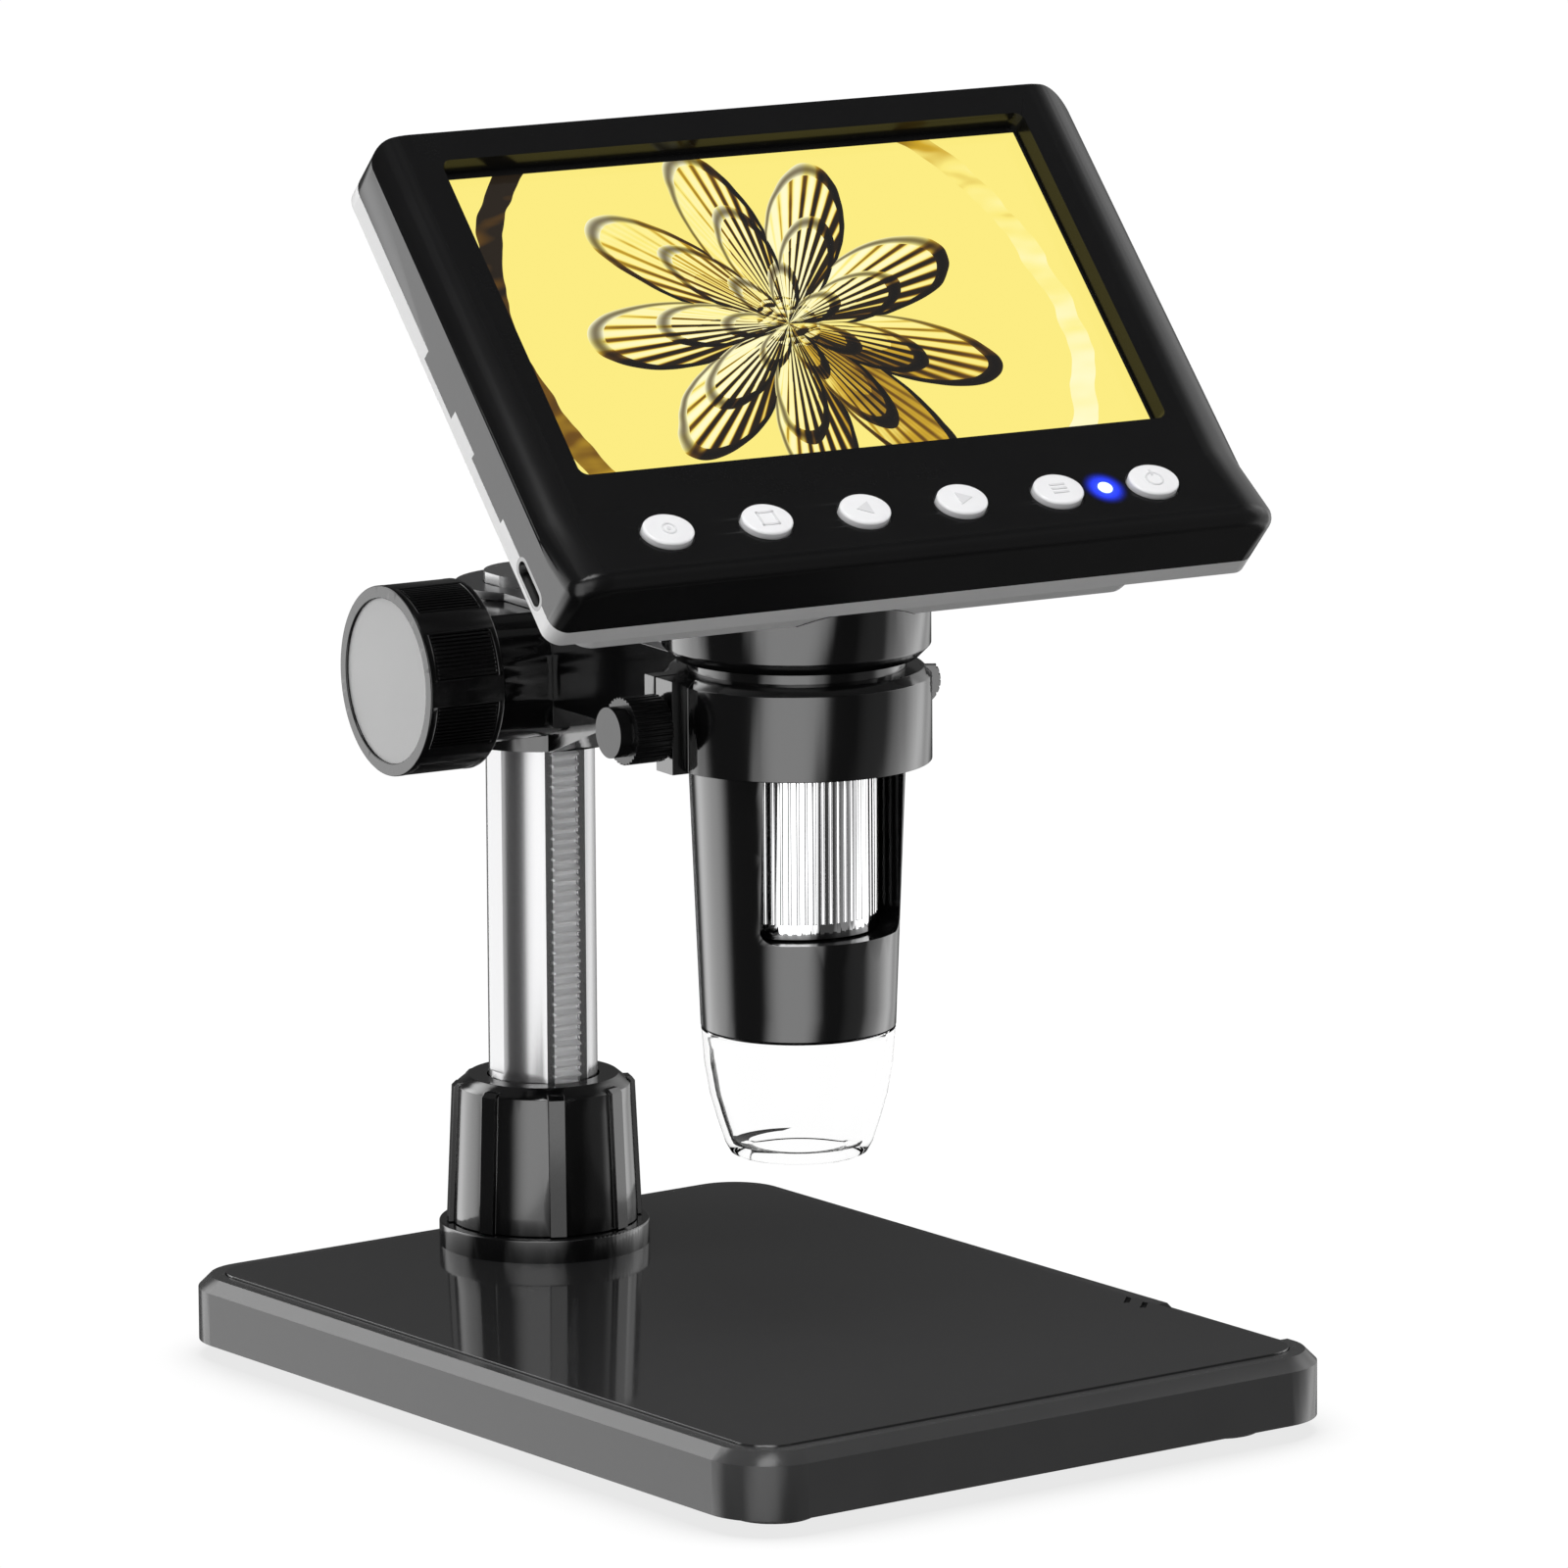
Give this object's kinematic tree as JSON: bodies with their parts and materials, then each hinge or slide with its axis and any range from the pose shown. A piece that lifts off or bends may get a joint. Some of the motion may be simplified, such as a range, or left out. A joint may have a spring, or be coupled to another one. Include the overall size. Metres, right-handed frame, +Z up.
{
  "type": "digital microscope",
  "caption": "Bench microscope with a tilted colour screen above a camera tube, held by a clamp ring on a rack and pinion column over a flat stage base.",
  "frame": {"origin": "on the table under the middle of the whole outline; the base's own middle lies 7.03 mm to the right of it", "axes": "+Z up, -Y towards the user, +X to the user's right; the column and all it carries is turned 6.1 degrees clockwise from above"},
  "size_m": [0.1208, 0.1456, 0.1896],
  "materials": {
    "cast_black": "semi-gloss",
    "stage_dark": "semi-gloss",
    "steel_weight": "raw",
    "black_plastic": "gloss",
    "satin_black": "satin",
    "foot_rubber": "matte",
    "zinc_steel": "satin",
    "column_aluminium": "satin",
    "rack_aluminium": "satin",
    "bronze": "satin",
    "nylon": "matte",
    "plate_gray": "satin",
    "disc_silver": "satin",
    "wheel_chrome": "polished",
    "hood_clear": "clear",
    "lens_glass": "clear",
    "circuit_green": "matte",
    "lamp_white": "matte",
    "cover_white": "semi-gloss",
    "screen_glass": "gloss",
    "backlight_white": "matte",
    "cell_gray": "matte",
    "button_white": "matte",
    "lamp_blue": "gloss",
    "tongue_white": "matte"
  },
  "bodies": {
    "base": {"base_slab": "cast_black", "stage_plate": "stage_dark", "ballast_plate": "steel_weight", "bottom_cover": "satin_black", "bottom_screws": "zinc_steel", "rubber_feet": "foot_rubber", "column_bolt": "zinc_steel", "column_washer": "zinc_steel", "column_socket": "black_plastic"},
    "collar_body": {"collar": "black_plastic"},
    "column_body": {"column": "column_aluminium", "rack": "rack_aluminium"},
    "carriage_body": {"carriage": "black_plastic", "axle_bushes": "bronze", "glide_pads": "nylon", "top_plate": "plate_gray", "plate_screws": "zinc_steel", "clamp_arm": "black_plastic", "arm_screws": "zinc_steel", "ring_tab": "black_plastic"},
    "drive_body": {"pinion_axle": "zinc_steel", "pinion": "zinc_steel", "drive_knob": "satin_black", "knob_disc": "disc_silver", "axle_nut": "zinc_steel"},
    "thumb_screw_body": {"clamp_screw": "zinc_steel", "clamp_knob": "black_plastic"},
    "head_body": {"body_tube": "black_plastic", "neck": "black_plastic", "neck_screws": "zinc_steel", "guide_ring": "satin_black", "sensor_board": "circuit_green", "image_sensor": "satin_black", "led_board": "circuit_green", "leds": "lamp_white", "hood": "hood_clear", "front_bezel": "black_plastic", "back_cover": "cover_white", "cover_screws": "zinc_steel", "lcd_panel": "screen_glass", "backlight": "backlight_white", "main_board": "circuit_green", "battery": "cell_gray", "port_shell": "zinc_steel", "port_tongue": "tongue_white", "button_board": "circuit_green", "button_switches": "satin_black", "status_led": "lamp_blue"},
    "focus_wheel_body": {"focus_wheel": "wheel_chrome"},
    "barrel_body": {"lens_barrel": "satin_black", "front_lens": "lens_glass", "rear_lens": "lens_glass", "lens_spacer": "satin_black"},
    "capture_button_body": {"capture_button": "button_white"},
    "confirm_button_body": {"confirm_button": "button_white"},
    "up_button_body": {"up_button": "button_white"},
    "down_button_body": {"down_button": "button_white"},
    "menu_button_body": {"menu_button": "button_white"},
    "power_button_body": {"power_button": "button_white"}
  },
  "joints": [
    {"name": "column_turn", "type": "hinge", "parent": "base", "child": "column_body", "pos_m": [0.00868, 0.0542, 0.02], "axis": [0, 0, 1], "range_deg": [-180, 180]},
    {"name": "collar_turn", "type": "hinge", "parent": "base", "child": "collar_body", "pos_m": [0.00868, 0.0542, 0.025], "axis": [0, 0, 1], "range_deg": [0, 120]},
    {"name": "carriage_slide", "type": "slide", "parent": "column_body", "child": "carriage_body", "axis": [0, 0, 1], "range_m": [-0.027, 0.008]},
    {"name": "knob_turn", "type": "hinge", "parent": "carriage_body", "child": "drive_body", "pos_m": [0.00741, 0.04235, 0.1027], "axis": [0.9943, -0.1063, 0], "range_deg": [-103, 345]},
    {"name": "thumb_screw_turn", "type": "hinge", "parent": "carriage_body", "child": "thumb_screw_body", "pos_m": [-0.02522, -0.01831, 0.105], "axis": [-0.9943, 0.1063, 0], "range_deg": [0, 180]},
    {"name": "head_turn", "type": "hinge", "parent": "carriage_body", "child": "head_body", "pos_m": [0.00064, -0.02107, 0.105], "axis": [0, 0, 1], "range_deg": [-90, 90]},
    {"name": "focus_turn", "type": "hinge", "parent": "head_body", "child": "focus_wheel_body", "pos_m": [0.00064, -0.02107, 0.088], "axis": [0, 0, 1], "range_deg": [-130, 130]},
    {"name": "barrel_slide", "type": "slide", "parent": "head_body", "child": "barrel_body", "axis": [0, 0, 1], "range_m": [-0.0015, 0.0015]},
    {"name": "capture_button_press", "type": "slide", "parent": "head_body", "child": "capture_button_body", "axis": [-0.0576, -0.5392, 0.8402], "range_m": [-0.0005, 0], "stiffness_N_per_m": 400, "springref_m": 0.0008},
    {"name": "confirm_button_press", "type": "slide", "parent": "head_body", "child": "confirm_button_body", "axis": [-0.0576, -0.5392, 0.8402], "range_m": [-0.0005, 0], "stiffness_N_per_m": 400, "springref_m": 0.0008},
    {"name": "up_button_press", "type": "slide", "parent": "head_body", "child": "up_button_body", "axis": [-0.0576, -0.5392, 0.8402], "range_m": [-0.0005, 0], "stiffness_N_per_m": 400, "springref_m": 0.0008},
    {"name": "down_button_press", "type": "slide", "parent": "head_body", "child": "down_button_body", "axis": [-0.0576, -0.5392, 0.8402], "range_m": [-0.0005, 0], "stiffness_N_per_m": 400, "springref_m": 0.0008},
    {"name": "menu_button_press", "type": "slide", "parent": "head_body", "child": "menu_button_body", "axis": [-0.0576, -0.5392, 0.8402], "range_m": [-0.0005, 0], "stiffness_N_per_m": 400, "springref_m": 0.0008},
    {"name": "power_button_press", "type": "slide", "parent": "head_body", "child": "power_button_body", "axis": [-0.0576, -0.5392, 0.8402], "range_m": [-0.0005, 0], "stiffness_N_per_m": 400, "springref_m": 0.0008}
  ],
  "couplings": [
    {"joint": "knob_turn", "follows": "carriage_slide", "rad_per_m": -222.22},
    {"joint": "barrel_slide", "follows": "focus_turn", "m_per_rad": 0.0006366}
  ]
}
